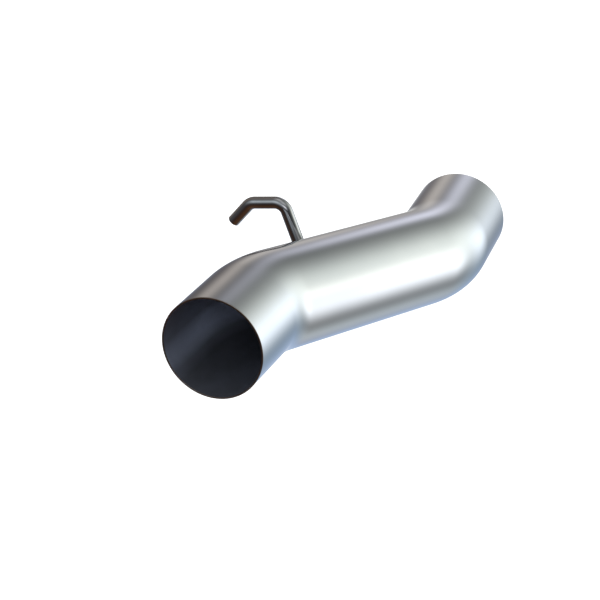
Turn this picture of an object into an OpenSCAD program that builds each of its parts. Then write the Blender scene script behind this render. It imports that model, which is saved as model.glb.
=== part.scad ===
// Offset exhaust tube with a hanger rod, in millimetres.
// Origin: centre of the inlet's cut end. +X runs along the inlet axis into the tube, +Z is up.
// The tube is one mandrel-bent length: straight, bend, straight, bend back, straight.
// A bent solid rod is welded by its foot along the far (+Y) side of the middle straight.

/* [Tube] */
// Outer diameter of the tube
tube_od = 101.6; // [90:0.1:110]
// Wall thickness of the tube
tube_wall = 1.6; // [1.2:0.1:2.5]
// Centreline radius of both bends
tube_bend_r = 127; // [110:1:200]
// Straight length at the inlet end
inlet_len = 80; // [60:1:150]
// Angle of the first bend, away from the hanger's side
first_bend = 22.5; // [15:0.5:35]
// Straight length between the bends
middle_len = 220; // [190:1:320]
// Angle of the second bend, back again
second_bend = 26.5; // [15:0.5:35]
// Straight length at the outlet end
outlet_len = 80; // [60:1:150]
// Roll of the plane of both bends about the inlet axis
bend_plane_roll = 15; // [0:1:25]

/* [Hanger rod] */
// Diameter of the solid rod
rod_d = 12.7; // [10:0.1:14]
// Centreline radius of the rod's three bends
rod_bend_r = 12.7; // [11:0.1:16]
// Distance along the middle straight to the corner of foot and leg
foot_at = 97; // [60:1:120]
// Angle around the tube from the bend plane to the foot
foot_angle = 2; // [-15:1:20]
// Length of the foot, from its cut end to the corner
foot_len = 55; // [45:1:65]
// Length of the leg, from the foot's corner to the run's corner
leg_len = 55.5; // [45:0.5:90]
// Lean of the leg from upright
leg_lean = 21.5; // [0:0.5:35]
// Length of the run between its two corners
run_len = 37; // [30:1:60]
// Fall of the run below level
run_fall = 8; // [0:1:15]
// Length of the tip that carries the rubber mount, from its corner to its cut end
tip_len = 30.5; // [25:0.5:50]
// Fall of the tip below level
tip_fall = 50; // [30:1:60]

/* [Weld beads] */
// Length of each fillet bead along the foot
bead_len = 36; // [25:1:40]
// Radius of the bead's rounded section
bead_r = 4; // [3:0.1:4.5]

/* [Hidden] */

tube_facets = 128;
rod_facets = 48;
cut_over = 1;                  // how far the hollow runs past each cut end
bend_draw = 0.01;              // bars are drawn this much thinner, in radius, in a bend
bend_lap = 0.2;                // how far a straight reaches into the thinner bend
bead_out = 0.35 * rod_d / 2;   // bead centre, out from the tube's surface
bead_side = 0.82 * rod_d / 2;  // bead centre, to the side of the line of contact

tube_r = tube_od / 2;
rod_r = rod_d / 2;

// Directions of the three straights, all in the rolled bend plane
bend_side = [0, -cos(bend_plane_roll), -sin(bend_plane_roll)];
function heading(turn) = [cos(turn), 0, 0] + sin(turn) * bend_side;
inlet_dir = heading(0);
middle_dir = heading(first_bend);
outlet_dir = heading(first_bend - second_bend);

// Corners of the tube's centreline, where the straights would meet
first_corner_in = tube_bend_r * tan(first_bend / 2);
second_corner_in = tube_bend_r * tan(second_bend / 2);
tube_start = [0, 0, 0];
tube_corner_1 = tube_start + (inlet_len + first_corner_in) * inlet_dir;
middle_start = tube_corner_1 + first_corner_in * middle_dir;
tube_corner_2 = middle_start + (middle_len + second_corner_in) * middle_dir;
tube_end = tube_corner_2 + (second_corner_in + outlet_len) * outlet_dir;

// Axes of the middle straight: out towards the foot, and around from it
plane_normal = cross(middle_dir, bend_side) / norm(cross(middle_dir, bend_side));
plane_out = cross(middle_dir, plane_normal);
foot_out = cos(foot_angle) * plane_out - sin(foot_angle) * plane_normal;
foot_around = cross(middle_dir, foot_out);

// Corners of the rod's centreline; leg, run and tip lie square to the inlet axis
foot_line = middle_start + (tube_r + rod_r) * foot_out;
foot_corner = foot_line + foot_at * middle_dir;
foot_end = foot_corner + foot_len * middle_dir;
leg_top = foot_corner + leg_len * [0, sin(leg_lean), cos(leg_lean)];
run_end = leg_top + run_len * [0, cos(run_fall), -sin(run_fall)];
tip_end = run_end + tip_len * [0, cos(tip_fall), -sin(tip_fall)];

// Middle of the weld along the foot, clear of the rod's bend
bead_at = foot_at + (corner_in(foot_end, foot_corner, leg_top, rod_bend_r) + foot_len) / 2;

function unit(v) = v / norm(v);

// Length taken from each side of corner b by a bend of radius r
function corner_in(a, b, c, r) = r * tan(acos(unit(b - a) * unit(c - b)) / 2);

// Straight round bar from a to b
module straight(a, b, d) {
    v = b - a;
    translate(a)
        rotate([0, acos(v.z / norm(v)), atan2(v.y, v.x)])
            cylinder(h = norm(v), d = d);
}

// Round bar bent to radius r at corner b, on the way from a to c
module bend(a, b, c, r, d) {
    along = unit(b - a);
    turn = acos(along * unit(c - b));
    axis = unit(cross(along, c - b));
    inward = cross(axis, along);
    middle = b - corner_in(a, b, c, r) * along + r * inward;
    multmatrix([
        [-inward.x, along.x, axis.x, middle.x],
        [-inward.y, along.y, axis.y, middle.y],
        [-inward.z, along.z, axis.z, middle.z],
        [0, 0, 0, 1]
    ])
        rotate_extrude(angle = turn)
            translate([r, 0])
                circle(d = d - 2 * bend_draw);
}

// Round bar of diameter d along a route of corners, each bent to radius r
module bent_bar(route, r, d) {
    last = len(route) - 1;
    trims = [
        for (i = [0 : last])
            i == 0 || i == last ? 0
                : corner_in(route[i - 1], route[i], route[i + 1], r) - bend_lap
    ];
    for (i = [0 : last - 1]) {
        along = unit(route[i + 1] - route[i]);
        straight(route[i] + trims[i] * along, route[i + 1] - trims[i + 1] * along, d);
    }
    for (i = [1 : last - 1])
        bend(route[i - 1], route[i], route[i + 1], r, d);
}

module exhaust_tube() {
    color("silver")
        difference() {
            bent_bar([tube_start, tube_corner_1, tube_corner_2, tube_end],
                tube_bend_r, tube_od, $fn = tube_facets);
            bent_bar([tube_start - cut_over * inlet_dir, tube_corner_1, tube_corner_2,
                tube_end + cut_over * outlet_dir],
                tube_bend_r, tube_od - 2 * tube_wall, $fn = tube_facets);
        }
}

module hanger_rod() {
    color("dimgray")
        bent_bar([foot_end, foot_corner, leg_top, run_end, tip_end],
            rod_bend_r, rod_d, $fn = rod_facets);
}

// Fillet bead on one side (+1 or -1) of the foot, filling the groove between rod and tube
module weld_bead(side) {
    start = middle_start + (bead_at - bead_len / 2) * middle_dir;
    color("gray")
        multmatrix([
            [foot_out.x, foot_around.x, middle_dir.x, start.x],
            [foot_out.y, foot_around.y, middle_dir.y, start.y],
            [foot_out.z, foot_around.z, middle_dir.z, start.z],
            [0, 0, 0, 1]
        ])
            linear_extrude(height = bead_len)
                difference() {
                    translate([tube_r + bead_out, side * bead_side])
                        circle(bead_r, $fn = rod_facets);
                    circle(tube_r, $fn = 8 * tube_facets);
                    translate([tube_r + rod_r, 0])
                        circle(rod_r, $fn = 8 * rod_facets);
                }
}

exhaust_tube();
hanger_rod();
weld_bead(1);  // weld_bead_upper
weld_bead(-1);  // weld_bead_lower
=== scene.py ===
"""Looks of an offset exhaust tube with a welded hanger rod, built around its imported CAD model.

Lengths are in metres and angles in degrees. The driving sizes repeat those of the CAD source.
"""

import math

import bmesh
import bpy
from mathutils import Matrix, Vector, noise


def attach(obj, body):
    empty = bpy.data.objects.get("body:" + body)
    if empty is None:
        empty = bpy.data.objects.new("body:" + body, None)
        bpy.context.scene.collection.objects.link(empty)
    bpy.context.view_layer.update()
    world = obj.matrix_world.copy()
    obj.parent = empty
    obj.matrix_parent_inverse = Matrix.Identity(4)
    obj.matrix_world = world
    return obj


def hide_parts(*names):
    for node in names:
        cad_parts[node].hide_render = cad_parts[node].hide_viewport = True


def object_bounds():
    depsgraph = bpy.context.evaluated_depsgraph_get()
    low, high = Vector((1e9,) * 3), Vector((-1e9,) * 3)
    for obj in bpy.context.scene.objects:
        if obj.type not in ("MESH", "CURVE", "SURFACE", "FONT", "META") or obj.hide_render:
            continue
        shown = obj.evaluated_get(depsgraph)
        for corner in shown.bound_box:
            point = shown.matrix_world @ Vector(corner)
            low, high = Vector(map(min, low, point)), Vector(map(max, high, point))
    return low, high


# Tube
TUBE_R = 0.0508
TUBE_WALL = 0.0016
TUBE_BEND_R = 0.127
INLET_LEN = 0.08
FIRST_BEND = 22.5
MIDDLE_LEN = 0.22
SECOND_BEND = 26.5
OUTLET_LEN = 0.08
BEND_PLANE_ROLL = 15
RIM_ROUND = 0.0003
RIM_STEPS = 4
TUBE_AROUND = 192
TUBE_STEP = 0.004
TUBE_TURN_STEP = 1.2

# Painted light in the bore, as two lighter lengthwise bands: a wide band of painted light and a
# narrow painted highlight streak. Angle around the tube, half width, strength. They reach their full
# strength the depth set below in from the inlet, so the painted light is stronger deeper in.
PAINTED_LIGHT_BAND = (192, 52, 0.62)
PAINTED_HIGHLIGHT_STREAK = (169, 17, 0.60)
PAINTED_LIGHT_DEPTH = 0.09

# Hanger rod
ROD_R = 0.00635
ROD_BEND_R = 0.0127
FOOT_AT = 0.097
FOOT_ANGLE = 2
FOOT_LEN = 0.055
LEG_LEN = 0.0555
LEG_LEAN = 21.5
RUN_LEN = 0.037
RUN_FALL = 8
TIP_LEN = 0.0305
TIP_FALL = 50
ROD_CHAMFER = 0.0007
ROD_AROUND = 72
ROD_STEP = 0.0015
ROD_TURN_STEP = 3
CUT_RINGS = 4

# Weld beads
BEAD_LEN = 0.036
BEAD_R = 0.004
BEAD_OUT = 0.35 * ROD_R
BEAD_SIDE = 0.82 * ROD_R
BEAD_SINK = 0.0003
BEAD_AROUND = 40
BEAD_STEP = 0.0002
BEAD_TAPER = 0.005
BEAD_LEAST_R = 0.00002
RIPPLE_PITCH = 0.0021
RIPPLE_DEPTH = 0.00022
RIPPLE_TOP = 1.4
RIPPLE_SHAPE = 0.6
RIPPLE_LAG = 0.35
RIPPLE_DRIFT = 0.25
DRIFT_SCALE = 400
DRIFT_SEED = (1.7, 0.3)
SWELL_HEIGHT = 0.00012
SWELL_SCALE = 180
SWELL_SEED = (4.1, 2.2)

# Heat colours: distances from the weld's middle line at which they start and end
TUBE_HEAT = (0.009, 0.024)
ROD_HEAT = (0.006, 0.019)
HEAT_RAGGED = 0.0014

# Material numbers, in the order in which dress() is given the materials
OUTSIDE, BORE, RIM = 0, 1, 2
SIDE, CUT = 0, 1

# Vector attribute that holds each point's place on a bar as if it were straight
UNBENT = "unbent"
# Edges that turn by more than this stay sharp
SHARP_FROM = 50
# Direction that no bar starts along, from which its first side vector is found
NEVER_ALONG = (0.1, 0.2, 1)

# Camera and surroundings
CAMERA_AT = (-1.3803, -0.6289, 0.7148)
CAMERA_HEADING = 21.446
CAMERA_DOWN = 23.734
CAMERA_LENS = 109.66
CAMERA_SENSOR = 36
FLOOR_BELOW = 0.9
FLOOR_HALF = 40.0


def unit(vector):
    return Vector(vector).normalized()


def direction(azimuth, elevation):
    """Unit vector at an azimuth from +X towards +Y and an elevation above level."""
    turn, rise = math.radians(azimuth), math.radians(elevation)
    level = math.cos(rise)
    return Vector((level * math.cos(turn), level * math.sin(turn), math.sin(rise)))


# ---------------------------------------------------------------- routes

def tube_aside():
    """Direction in which the tube steps aside from its inlet's axis."""
    roll = math.radians(BEND_PLANE_ROLL)
    return Vector((0, -math.cos(roll), -math.sin(roll)))


def tube_heading(turn):
    """Direction of the tube after turning by an angle in the plane of its bends."""
    turned = math.radians(turn)
    return math.cos(turned) * Vector((1, 0, 0)) + math.sin(turned) * tube_aside()


def tube_route():
    """Corners of the tube's centreline, and the start of its middle straight."""
    first_in = TUBE_BEND_R * math.tan(math.radians(FIRST_BEND / 2))
    second_in = TUBE_BEND_R * math.tan(math.radians(SECOND_BEND / 2))
    middle_dir = tube_heading(FIRST_BEND)
    corner_1 = (INLET_LEN + first_in) * tube_heading(0)
    middle_start = corner_1 + first_in * middle_dir
    corner_2 = middle_start + (MIDDLE_LEN + second_in) * middle_dir
    end = corner_2 + (second_in + OUTLET_LEN) * tube_heading(FIRST_BEND - SECOND_BEND)
    return [Vector((0, 0, 0)), corner_1, corner_2, end], middle_start


def foot_axes():
    """Along the middle straight, out from its axis to the foot, and around from it."""
    along = tube_heading(FIRST_BEND)
    shift = math.radians(FOOT_ANGLE)
    normal = along.cross(tube_aside()).normalized()
    out = math.cos(shift) * along.cross(normal) - math.sin(shift) * normal
    return along, out, along.cross(out)


def rod_route(middle_start):
    """Corners of the hanger rod's centreline, from the foot's cut end to the tip's."""
    along, out, _ = foot_axes()
    foot_corner = middle_start + (TUBE_R + ROD_R) * out + FOOT_AT * along
    leg_top = foot_corner + LEG_LEN * direction(90, 90 - LEG_LEAN)
    run_end = leg_top + RUN_LEN * direction(90, -RUN_FALL)
    tip_end = run_end + TIP_LEN * direction(90, -TIP_FALL)
    return [foot_corner + FOOT_LEN * along, foot_corner, leg_top, run_end, tip_end]


def weld_span():
    """Start and end of the welds along the middle straight."""
    along, _, _ = foot_axes()
    turn = along.angle(direction(90, 90 - LEG_LEAN))
    foot_from = FOOT_AT + ROD_BEND_R * math.tan((math.pi - turn) / 2)
    middle = (foot_from + FOOT_AT + FOOT_LEN) / 2
    return middle - BEAD_LEN / 2, middle + BEAD_LEN / 2


def segments(corners, bend_r):
    """Straights and arcs of a bar that is bent to bend_r at every corner between its ends.

    Each holds its start, direction and side vector there, bend axis (None if straight) and length.
    """
    made = []
    start = corners[0]
    ahead = unit(corners[1] - start)
    side = unit(ahead.cross(Vector(NEVER_ALONG)))
    for corner, after in zip(corners[1:-1], corners[2:]):
        then = unit(after - corner)
        turn = ahead.angle(then)
        trim = bend_r * math.tan(turn / 2)
        made.append((start, ahead, side, None, (corner - start).length - trim))
        axis = unit(ahead.cross(then))
        made.append((corner - trim * ahead, ahead, side, axis, bend_r * turn))
        side = Matrix.Rotation(turn, 3, axis) @ side
        start = corner + trim * then
        ahead = then
    made.append((start, ahead, side, None, (corners[-1] - start).length))
    return made


def frame_at(parts, bend_r, run):
    """Point, direction and side vector at a run length along the segments."""
    for start, ahead, side, axis, length in parts:
        if run <= length:
            break
        run -= length
    else:
        run += length
    if axis is None:
        return start + run * ahead, ahead, side
    turned = Matrix.Rotation(run / bend_r, 3, axis)
    hub = start + bend_r * axis.cross(ahead)
    return hub + turned @ (start - hub), turned @ ahead, turned @ side


def stations(parts, step, bend_step):
    """Run lengths at most step apart in straights and bend_step in bends, ends included."""
    runs, before = [0.0], 0.0
    for _, _, _, axis, length in parts:
        count = max(1, math.ceil(length / (step if axis is None else bend_step)))
        runs += [before + length * (i + 1) / count for i in range(count)]
        before += length
    return runs


# ---------------------------------------------------------------- meshes

def ring_mesh(name, parts, bend_r, rings, around, bands, closed):
    """Mesh through rings of (run, radius); bands holds the material number between rings."""
    bm = bmesh.new()
    unbent = bm.verts.layers.float_vector.new(UNBENT)
    loops = []
    for run, radius in rings:
        centre, ahead, side = frame_at(parts, bend_r, run)
        up = ahead.cross(side)
        loop = []
        for i in range(around if radius > 0 else 1):
            turn = 2 * math.pi * i / around
            outward = math.cos(turn) * side + math.sin(turn) * up
            vert = bm.verts.new(centre + radius * outward)
            vert[unbent] = (radius * math.cos(turn), radius * math.sin(turn), run)
            loop.append(vert)
        loops.append(loop)
    pairs = list(zip(loops, loops[1:])) + ([(loops[-1], loops[0])] if closed else [])
    for (lower, upper), band in zip(pairs, bands):
        for i in range(around):
            following = (i + 1) % around
            if len(lower) == 1:
                corners = (lower[0], upper[following], upper[i])
            elif len(upper) == 1:
                corners = (lower[i], lower[following], upper[0])
            else:
                corners = (lower[i], lower[following], upper[following], upper[i])
            bm.faces.new(corners).material_index = band
    bmesh.ops.recalc_face_normals(bm, faces=bm.faces)
    return finished(bm, name)


def finished(bm, name):
    """Object made from a bmesh, smooth apart from its sharp edges."""
    mesh = bpy.data.meshes.new(name)
    bm.to_mesh(mesh)
    bm.free()
    mesh.shade_smooth()
    mesh.set_sharp_from_angle(angle=math.radians(SHARP_FROM))
    piece = bpy.data.objects.new(name, mesh)
    bpy.context.scene.collection.objects.link(piece)
    return piece


def round_over(run, radius, to_face, to_middle):
    """Rings of a small round, from the wall at (run, radius) over to the cut face.

    It ends to_face further along the tube and to_middle further out. Either can be minus.
    """
    turns = [0.5 * math.pi * i / RIM_STEPS for i in range(RIM_STEPS + 1)]
    return [(run + to_face * math.sin(t), radius + to_middle * (1 - math.cos(t))) for t in turns]


def tube_shell(corners):
    """Thin-walled tube: outer wall, rounded cut rims and inner wall, as one closed skin."""
    parts = segments(corners, TUBE_BEND_R)
    runs = stations(parts, TUBE_STEP, TUBE_BEND_R * math.radians(TUBE_TURN_STEP))
    total = runs[-1]
    inner_r = TUBE_R - TUBE_WALL
    runs = [2 * RIM_ROUND] + runs[1:-1] + [total - 2 * RIM_ROUND]
    outlet_out = round_over(total - RIM_ROUND, TUBE_R, RIM_ROUND, -RIM_ROUND)
    outlet_in = round_over(total - RIM_ROUND, inner_r, RIM_ROUND, RIM_ROUND)[::-1]
    inlet_in = round_over(RIM_ROUND, inner_r, -RIM_ROUND, RIM_ROUND)
    inlet_out = round_over(RIM_ROUND, TUBE_R, -RIM_ROUND, -RIM_ROUND)[::-1]
    outer = [(run, TUBE_R) for run in runs]
    inner = [(run, inner_r) for run in reversed(runs)]
    rings = outer + outlet_out + outlet_in + inner + inlet_in + inlet_out
    rim = [RIM] * (len(outlet_out) + len(outlet_in) + 1)
    bands = [OUTSIDE] * (len(outer) - 1) + rim + [BORE] * (len(inner) - 1) + rim
    return ring_mesh("tube_shell", parts, TUBE_BEND_R, rings, TUBE_AROUND, bands, True)


def hanger_bar(corners):
    """Bent round bar with chamfered cut ends."""
    parts = segments(corners, ROD_BEND_R)
    runs = stations(parts, ROD_STEP, ROD_BEND_R * math.radians(ROD_TURN_STEP))
    total = runs[-1]
    runs = [ROD_CHAMFER] + runs[1:-1] + [total - ROD_CHAMFER]
    first_face = [(0.0, (ROD_R - ROD_CHAMFER) * i / CUT_RINGS) for i in range(CUT_RINGS + 1)]
    last_face = [(total, radius) for _, radius in reversed(first_face)]
    rings = first_face + [(run, ROD_R) for run in runs] + last_face
    bands = [CUT] * CUT_RINGS + [SIDE] * (len(runs) + 1) + [CUT] * CUT_RINGS
    return ring_mesh("hanger_bar", parts, ROD_BEND_R, rings, ROD_AROUND, bands, False)


def bead_size(run, from_toe):
    """Radius of a weld bead at a run length: overlapping ripples, tapered at both ends.

    from_toe goes from 0 at the bead's toe on the tube to 2 at the rod, where each ripple lags.
    The ends are nine parts round to one part straight.
    """
    taper = min(1.0, min(run, BEAD_LEN - run) / BEAD_TAPER)
    drift = noise.noise(Vector((run * DRIFT_SCALE, *DRIFT_SEED)))
    bowed = run + RIPPLE_LAG * RIPPLE_PITCH * from_toe ** 2
    phase = bowed / RIPPLE_PITCH + RIPPLE_DRIFT * drift
    ripple = abs(math.sin(math.pi * phase)) ** RIPPLE_SHAPE
    swell = noise.noise(Vector((run * SWELL_SCALE, *SWELL_SEED)))
    full = BEAD_R - RIPPLE_DEPTH * (RIPPLE_TOP - ripple) + SWELL_HEIGHT * swell
    return full * math.sqrt(max(0.0, 1 - (1 - taper) ** 2)) * 0.9 + 0.1 * full * taper


def weld_bead(name, side, middle_start):
    """Rippled fillet in the groove on one side (+1 or -1) between foot and tube."""
    along, out, around = foot_axes()
    first, _ = weld_span()
    bm = bmesh.new()
    loops = []
    count = round(BEAD_LEN / BEAD_STEP)
    for step in range(count + 1):
        run = BEAD_LEN * step / count
        centre = middle_start + (first + run) * along
        loop = []
        for i in range(BEAD_AROUND):
            turn = 2 * math.pi * i / BEAD_AROUND
            radius = max(bead_size(run, 1 - math.cos(turn)), BEAD_LEAST_R)
            x = TUBE_R + BEAD_OUT + radius * math.sin(turn)
            y = side * (BEAD_SIDE + radius * math.cos(turn))
            reach = math.hypot(x, y)
            keep = max(reach, TUBE_R - BEAD_SINK) / reach
            loop.append(bm.verts.new(centre + keep * (x * out + y * around)))
        loops.append(loop)
    for lower, upper in zip(loops, loops[1:]):
        for i in range(BEAD_AROUND):
            following = (i + 1) % BEAD_AROUND
            bm.faces.new((lower[i], lower[following], upper[following], upper[i]))
    bm.faces.new(loops[0])
    bm.faces.new(loops[-1])
    bmesh.ops.recalc_face_normals(bm, faces=bm.faces)
    return finished(bm, name)


# ---------------------------------------------------------------- materials

def add(tree, kind, inputs=None, **settings):
    """Adds a node. Each input is a value, or a socket to link from."""
    made = tree.nodes.new(kind)
    for key, value in settings.items():
        setattr(made, key, value)
    for key, value in (inputs or {}).items():
        if isinstance(value, bpy.types.NodeSocket):
            tree.links.new(value, made.inputs[key])
        else:
            made.inputs[key].default_value = value
    return made


def maths(tree, operation, a, b=0.0, clamp=False):
    """Result of a maths node on two values or sockets."""
    made = add(tree, "ShaderNodeMath", {0: a, 1: b}, operation=operation, use_clamp=clamp)
    return made.outputs[0]


def vector_maths(tree, operation, a, b=(0, 0, 0), out="Vector"):
    """Result of a vector maths node; out is "Value" where that is a number."""
    made = add(tree, "ShaderNodeVectorMath", {0: a, 1: b}, operation=operation)
    return made.outputs[out]


def noise_at(tree, place, scale, detail=4.0, stretch=(1, 1, 1)):
    """Noise from 0 to 1 at a place; stretch squeezes it along each axis."""
    moved = vector_maths(tree, "MULTIPLY", place, stretch)
    made = add(tree, "ShaderNodeTexNoise", {"Vector": moved, "Scale": scale, "Detail": detail})
    return made.outputs["Fac"]


def spread(tree, value, low, high, to_low, to_high):
    """Maps low..high of a value to to_low..to_high, clamped."""
    inputs = {"Value": value, "From Min": low, "From Max": high, "To Min": to_low, "To Max": to_high}
    return add(tree, "ShaderNodeMapRange", inputs).outputs["Result"]


def blend(tree, factor, a, b):
    """Colour mixed from a to b."""
    made = add(tree, "ShaderNodeMix", {0: factor, 6: a, 7: b}, data_type="RGBA")
    return made.outputs[2]


def mottled(tree, pattern, a, b):
    """Colour that goes from a to b over the middle values of a pattern."""
    return blend(tree, spread(tree, pattern, 0.35, 0.65, 0.0, 1.0), a, b)


def scaled(tree, vector, scale):
    """Vector times a number."""
    made = add(tree, "ShaderNodeVectorMath", {0: vector, "Scale": scale}, operation="SCALE")
    return made.outputs["Vector"]


def place_unbent(tree):
    """Place on a bar as if it were straight."""
    return add(tree, "ShaderNodeAttribute", attribute_name=UNBENT).outputs["Vector"]


def place_in_object(tree):
    """Place in the object's own coordinates."""
    return add(tree, "ShaderNodeTexCoord").outputs["Object"]


def ramp(tree, value, stops):
    """Colours by value, from stops of (place, colour)."""
    made = add(tree, "ShaderNodeValToRGB", {"Fac": value})
    row = made.color_ramp.elements
    while len(row) < len(stops):
        row.new(0.5)
    for element, (place, colour) in zip(row, stops):
        element.position = place
        element.color = (*colour, 1)
    return made.outputs["Color"]


def new_material(name, **sockets):
    """Material with a Principled shader; sockets are its values that are the same all over."""
    material = bpy.data.materials.new(name)
    material.use_nodes = True
    tree = material.node_tree
    shader = tree.nodes["Principled BSDF"]
    for key, value in sockets.items():
        shader.inputs[key.replace("_", " ")].default_value = value
    return material, tree, shader


def connect(tree, shader, **sockets):
    """Links sockets that vary over the surface to a shader's inputs."""
    for key, value in sockets.items():
        tree.links.new(value, shader.inputs[key.replace("_", " ")])


def bump(tree, height, strength, distance):
    """Normal of a surface with a little relief, from a height pattern."""
    inputs = {"Height": height, "Strength": strength, "Distance": distance}
    return add(tree, "ShaderNodeBump", inputs).outputs["Normal"]


def weld_distance(tree, line):
    """Distance in metres from the welded foot's line, made ragged by noise."""
    start, end = line
    along = unit(end - start)
    place = place_in_object(tree)
    away = vector_maths(tree, "SUBTRACT", place, tuple(start))
    run = vector_maths(tree, "DOT_PRODUCT", away, tuple(along), out="Value")
    held = add(tree, "ShaderNodeClamp", {"Value": run, "Min": 0.0, "Max": (end - start).length})
    nearest = scaled(tree, tuple(along), held.outputs[0])
    gap = vector_maths(tree, "LENGTH", vector_maths(tree, "SUBTRACT", away, nearest), out="Value")
    uneven = noise_at(tree, place, 70.0, 2.0)
    ragged = spread(tree, uneven, 0.3, 0.7, -HEAT_RAGGED, HEAT_RAGGED)
    return maths(tree, "ADD", gap, ragged)


def heat_colours(tree, colour, line, reach):
    """Lays the temper colours of welded steel over a colour, around the weld's middle line."""
    place = spread(tree, weld_distance(tree, line), *reach, 0.0, 1.0)
    grey, blue, purple = (0.36, 0.36, 0.37), (0.27, 0.32, 0.46), (0.37, 0.28, 0.42)
    bronze, straw, pale = (0.56, 0.38, 0.22), (0.68, 0.58, 0.36), (0.64, 0.62, 0.57)
    tint = ramp(
        tree, place,
        [(0.0, grey), (0.18, blue), (0.36, purple), (0.55, bronze), (0.78, straw), (1.0, pale)],
    )
    cover = ramp(
        tree, place,
        [(0.0, (0.85,) * 3), (0.5, (0.8,) * 3), (0.8, (0.45,) * 3), (1.0, (0.0,) * 3)],
    )
    return blend(tree, cover, colour, tint)


def polished_tube(line):
    """Outside of the tube: satin polish, faint handling marks and heat colours by the foot."""
    material, tree, shader = new_material("polished_tube", Metallic=1.0)
    place = place_unbent(tree)
    cloud = noise_at(tree, place, 9.0, 3.0)
    smear = noise_at(tree, place, 38.0, 6.0, (1, 1, 0.35))
    polish = noise_at(tree, place, 260.0, 3.0, (0.05, 0.05, 3.0))
    colour = mottled(tree, cloud, (0.640, 0.645, 0.655, 1), (0.690, 0.690, 0.695, 1))
    colour = heat_colours(tree, colour, line, TUBE_HEAT)
    smeared = spread(tree, smear, 0.35, 0.7, 0.055, 0.085)
    rough = maths(tree, "ADD", smeared, spread(tree, polish, 0.3, 0.7, 0.0, 0.015))
    relief = bump(tree, polish, strength=0.1, distance=0.00005)
    connect(tree, shader, Base_Color=colour, Roughness=rough, Normal=relief)
    return material


def soot_and_painted_light_bore():
    """Inside of the tube: dark, uneven soot over the steel, with painted light in two lengthwise
    bands, a wide lit band and a narrow painted highlight streak.
    """
    material, tree, shader = new_material("soot_and_painted_light_bore", Metallic=0.25)
    place = place_unbent(tree)
    mottle = noise_at(tree, place, 45.0, 7.0, (1, 1, 0.6))
    flow = noise_at(tree, place, 60.0, 4.0, (1, 1, 0.12))
    thick, thin = (0.150, 0.156, 0.180, 1), (0.190, 0.200, 0.240, 1)
    soot = blend(tree, spread(tree, mottle, 0.35, 0.7, 0.0, 1.0), thick, thin)
    around = vector_maths(tree, "NORMALIZE", vector_maths(tree, "MULTIPLY", place, (1, 1, 0)))
    wavy = maths(tree, "MULTIPLY", maths(tree, "SUBTRACT", flow, 0.5), 0.02)
    depth = add(tree, "ShaderNodeSeparateXYZ", {0: place}).outputs["Z"]
    # Painted light grows from half to full strength deeper in, where the real light falls off.
    stronger_deeper = spread(tree, depth, 0.0, PAINTED_LIGHT_DEPTH, 0.5, 1.0)
    painted_light = 0.0
    # Each band is painted light at one angle around the tube.
    for centre, half_width, strength in (PAINTED_LIGHT_BAND, PAINTED_HIGHLIGHT_STREAK):
        edge = math.cos(math.radians(half_width))
        facing = vector_maths(tree, "DOT_PRODUCT", around, tuple(direction(centre, 0)), "Value")
        band = spread(tree, maths(tree, "ADD", facing, wavy), edge, 1.0, 0.0, strength)
        painted_light = maths(tree, "ADD", band, painted_light)
    painted_light = maths(tree, "MULTIPLY", painted_light, stronger_deeper, clamp=True)
    # Pale blue painted light and painted highlight laid over the soot.
    colour = blend(tree, painted_light, soot, (0.72, 0.79, 1.0, 1))
    rough = spread(tree, flow, 0.3, 0.7, 0.36, 0.5)
    relief = bump(tree, mottle, strength=0.25, distance=0.0002)
    connect(tree, shader, Base_Color=colour, Roughness=rough, Normal=relief)
    return material


def cut_rim():
    """Cut ends of the tube: fine saw lines, and a dark brown colour that is painted reflection of
    dark brown surroundings.
    """
    material, tree, shader = new_material("cut_rim", Metallic=1.0)
    place = place_in_object(tree)
    lines = noise_at(tree, place, 900.0, 3.0, (0.2, 1.0, 0.08))
    patch = noise_at(tree, place, 60.0, 4.0)
    # Dark brown painted reflection.
    colour = mottled(tree, patch, (0.30, 0.24, 0.20, 1), (0.40, 0.34, 0.29, 1))
    rough = spread(tree, lines, 0.3, 0.7, 0.28, 0.4)
    relief = bump(tree, lines, strength=0.3, distance=0.00005)
    connect(tree, shader, Base_Color=colour, Roughness=rough, Normal=relief)
    return material


def drawn_rod(line):
    """Hanger rod: drawn bar with lengthwise die lines and heat colours at its foot."""
    material, tree, shader = new_material("drawn_rod", Metallic=1.0)
    place = place_unbent(tree)
    lines = noise_at(tree, place, 900.0, 4.0, (1, 1, 0.02))
    blotch = noise_at(tree, place, 70.0, 5.0, (1, 1, 0.6))
    dull, bright = (0.430, 0.425, 0.420, 1), (0.530, 0.525, 0.520, 1)
    colour = blend(tree, spread(tree, blotch, 0.35, 0.68, 0.0, 1.0), dull, bright)
    colour = heat_colours(tree, colour, line, ROD_HEAT)
    rough = spread(tree, blotch, 0.3, 0.7, 0.09, 0.15)
    relief = bump(tree, lines, strength=0.12, distance=0.00006)
    connect(tree, shader, Base_Color=colour, Roughness=rough, Normal=relief)
    return material


def sawn_end():
    """Cut faces of the rod, with parallel saw marks."""
    material, tree, shader = new_material("sawn_end", Metallic=1.0)
    place = place_in_object(tree)
    marks = noise_at(tree, place, 1500.0, 2.0, (1.0, 0.05, 0.25))
    stain = noise_at(tree, place, 300.0, 4.0)
    colour = mottled(tree, stain, (0.36, 0.34, 0.32, 1), (0.50, 0.49, 0.48, 1))
    rough = spread(tree, marks, 0.3, 0.7, 0.3, 0.45)
    relief = bump(tree, marks, strength=0.35, distance=0.00006)
    connect(tree, shader, Base_Color=colour, Roughness=rough, Normal=relief)
    return material


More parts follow.
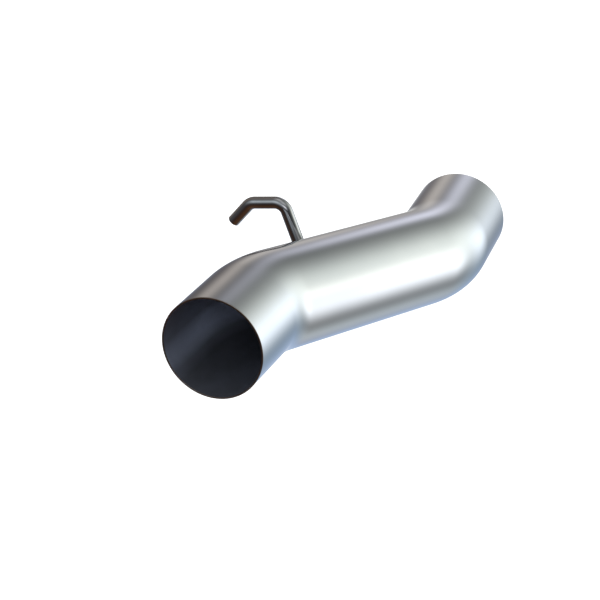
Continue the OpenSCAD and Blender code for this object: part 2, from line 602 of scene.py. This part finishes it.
def weld_metal():
    """Weld metal: patches from bright to bronze, purple and blue, with a fine grain."""
    material, tree, shader = new_material("weld_metal", Metallic=1.0)
    place = place_in_object(tree)
    heat = noise_at(tree, place, 120.0, 4.0)
    grain = noise_at(tree, place, 1800.0, 5.0)
    bright, bronze = (0.50, 0.49, 0.47), (0.52, 0.42, 0.28)
    purple, blue = (0.36, 0.27, 0.33), (0.27, 0.31, 0.42)
    colour = ramp(tree, heat, [(0.30, bright), (0.46, bronze), (0.58, purple), (0.72, blue)])
    rough = spread(tree, grain, 0.3, 0.7, 0.24, 0.4)
    relief = bump(tree, grain, strength=0.2, distance=0.00008)
    connect(tree, shader, Base_Color=colour, Roughness=rough, Normal=relief)
    return material


# ---------------------------------------------------------------- studio

# Soft lights round the object: azimuth from +X towards +Y, elevation, half width, half height,
# and red, green and blue strength.
SOFT_LIGHTS = {
    "window_box": (-62, -14, 12, 19, (1.12, 1.16, 1.24)),
    "window_glow": (-48, 13, 32, 32, (1.16, 1.24, 1.17)),
    "window_top": (-66, 9, 10, 10, (0.40, 0.38, 0.34)),
    "window_edge": (-30, -5, 14, 17, (0.76, 0.84, 0.97)),
    "low_left_bounce": (-26, -53, 18, 16, (0.37, 0.42, 0.43)),
    "low_sky_bounce": (18, -37, 39, 16, (0.05, 0.20, 0.37)),
    "low_front_bounce": (12, -38, 22, 34, (0.29, 0.26, 0.30)),
    "overhead_strip": (7, 15, 8.5, 13, (1.02, 1.04, 1.21)),
    "warm_strip": (27, 14, 8, 11, (0.36, 0.33, 0.30)),
    "warm_strip_low": (22, 4, 5, 10, (0.28, 0.27, 0.25)),
    "side_fill": (17, -19, 7.5, 12, (0.41, 0.40, 0.33)),
    "brown_ground": (180, -66, 48, 44, (0.106, 0.039, 0.0)),
    "back_box": (160, 32, 28, 22, (0.80, 0.88, 0.96)),
    "far_side_fill": (68, 21, 29, 50, (0.28, 0.235, 0.20)),
    "rear_side_box": (-152, 24, 16, 9, (1.5, 1.55, 1.7)),
    "rear_top_box": (-125, 57, 24, 18, (0.60, 0.62, 0.65)),
    "zenith_box": (90, 88, 20, 20, (0.60, 0.61, 0.63)),
}
AMBIENT = (0.012, 0.016, 0.024)
# Each glow fades out between this cosine of the angle off its light's middle and a right angle
FADE_BY = 0.4


def soft_light(tree, toward, so_far, azimuth, elevation, half_width, half_height, colour):
    """Adds one soft light's glow to the light so far, for a direction vector."""
    middle = direction(azimuth, elevation)
    across = unit(Vector((0, 0, 1)).cross(middle))
    up = middle.cross(across)
    across = across / math.sin(math.radians(half_width))
    up = up / math.sin(math.radians(half_height))
    x = vector_maths(tree, "DOT_PRODUCT", toward, tuple(across), "Value")
    y = vector_maths(tree, "DOT_PRODUCT", toward, tuple(up), "Value")
    front = vector_maths(tree, "DOT_PRODUCT", toward, tuple(middle), "Value")
    square = maths(tree, "ADD", maths(tree, "MULTIPLY", x, x), maths(tree, "MULTIPLY", y, y))
    glow = maths(tree, "POWER", 1 / math.e, square)
    facing = spread(tree, front, 0.0, FADE_BY, 0.0, 1.0)
    size = maths(tree, "MULTIPLY", glow, facing)
    return vector_maths(tree, "ADD", so_far, scaled(tree, colour, size))


def studio():
    """World light from the soft lights; the camera itself sees plain white beyond the floor."""
    world = bpy.data.worlds.new("studio")
    world.use_nodes = True
    tree = world.node_tree
    tree.nodes.clear()
    toward = add(tree, "ShaderNodeTexCoord").outputs["Generated"]
    light = vector_maths(tree, "ADD", AMBIENT)
    for placed in SOFT_LIGHTS.values():
        light = soft_light(tree, toward, light, *placed)
    lit = add(tree, "ShaderNodeBackground", {"Color": light, "Strength": 1.0})
    plain = add(tree, "ShaderNodeBackground", {"Color": (1, 1, 1, 1), "Strength": 1.0})
    seen = add(tree, "ShaderNodeLightPath").outputs["Is Camera Ray"]
    mixed = add(
        tree, "ShaderNodeMixShader", {0: seen, 1: lit.outputs[0], 2: plain.outputs[0]}
    )
    add(tree, "ShaderNodeOutputWorld", {"Surface": mixed.outputs[0]})
    bpy.context.scene.world = world


def floor_plane(low):
    """Plain white floor well below the hanging object, too bright for a shadow to show."""
    bm = bmesh.new()
    bmesh.ops.create_grid(bm, x_segments=4, y_segments=4, size=FLOOR_HALF)
    bmesh.ops.translate(bm, vec=(0, 0, low.z - FLOOR_BELOW), verts=bm.verts)
    floor = finished(bm, "floor")
    material, tree, shader = new_material(
        "white_floor", Roughness=0.9, Emission_Strength=1.0, Emission_Color=(1, 1, 1, 1)
    )
    place = place_in_object(tree)
    tone = blend(tree, noise_at(tree, place, 3.0), (0.80, 0.80, 0.80, 1), (0.84, 0.84, 0.84, 1))
    connect(tree, shader, Base_Color=tone)
    floor.data.materials.append(material)
    floor.visible_glossy = False
    floor.visible_diffuse = False


def camera():
    """Camera where the photo was taken from, as fitted to the tube's outline."""
    data = bpy.data.cameras.new("camera")
    data.lens = CAMERA_LENS
    data.sensor_width = CAMERA_SENSOR
    data.clip_start = 0.01
    data.clip_end = 200
    eye = bpy.data.objects.new("camera", data)
    eye.location = CAMERA_AT
    ahead = direction(CAMERA_HEADING, -CAMERA_DOWN)
    eye.rotation_mode = "QUATERNION"
    eye.rotation_quaternion = ahead.to_track_quat("-Z", "Y")
    bpy.context.scene.collection.objects.link(eye)
    bpy.context.scene.camera = eye


def show_colours_plainly():
    """Shows the scene's colours with no film look on top."""
    settings = bpy.context.scene.view_settings
    settings.view_transform = "Standard"
    settings.look = "None"
    settings.exposure = 0
    settings.gamma = 1


def dress(piece, node, slot, *materials):
    """Gives a piece its materials, puts it under the root body and hides its CAD node."""
    for material in materials:
        piece.data.materials.append(material)
    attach(piece, "root")
    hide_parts(node)


def build():
    """Makes the four pieces, hiding the CAD node of each."""
    corners, middle_start = tube_route()
    along, out, _ = foot_axes()
    first, last = weld_span()
    line = [middle_start + run * along + TUBE_R * out for run in (first, last)]
    bead = weld_metal()
    dress(
        tube_shell(corners), "exhaust_tube", "tube_steel",
        polished_tube(line), soot_and_painted_light_bore(), cut_rim(),
    )
    dress(
        hanger_bar(rod_route(middle_start)), "hanger_rod", "rod_steel",
        drawn_rod(line), sawn_end(),
    )
    dress(weld_bead("weld_upper", 1, middle_start), "weld_bead_upper", "weld_metal", bead)
    dress(weld_bead("weld_lower", -1, middle_start), "weld_bead_lower", "weld_metal", bead)


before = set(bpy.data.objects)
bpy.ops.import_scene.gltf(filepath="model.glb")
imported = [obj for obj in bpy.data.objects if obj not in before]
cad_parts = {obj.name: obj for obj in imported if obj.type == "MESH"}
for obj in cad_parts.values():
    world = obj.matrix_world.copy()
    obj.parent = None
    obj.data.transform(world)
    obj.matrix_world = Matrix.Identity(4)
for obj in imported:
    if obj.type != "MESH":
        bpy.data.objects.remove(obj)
cad_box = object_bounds()
build()
studio()
floor_plane(cad_box[0])
camera()
show_colours_plainly()
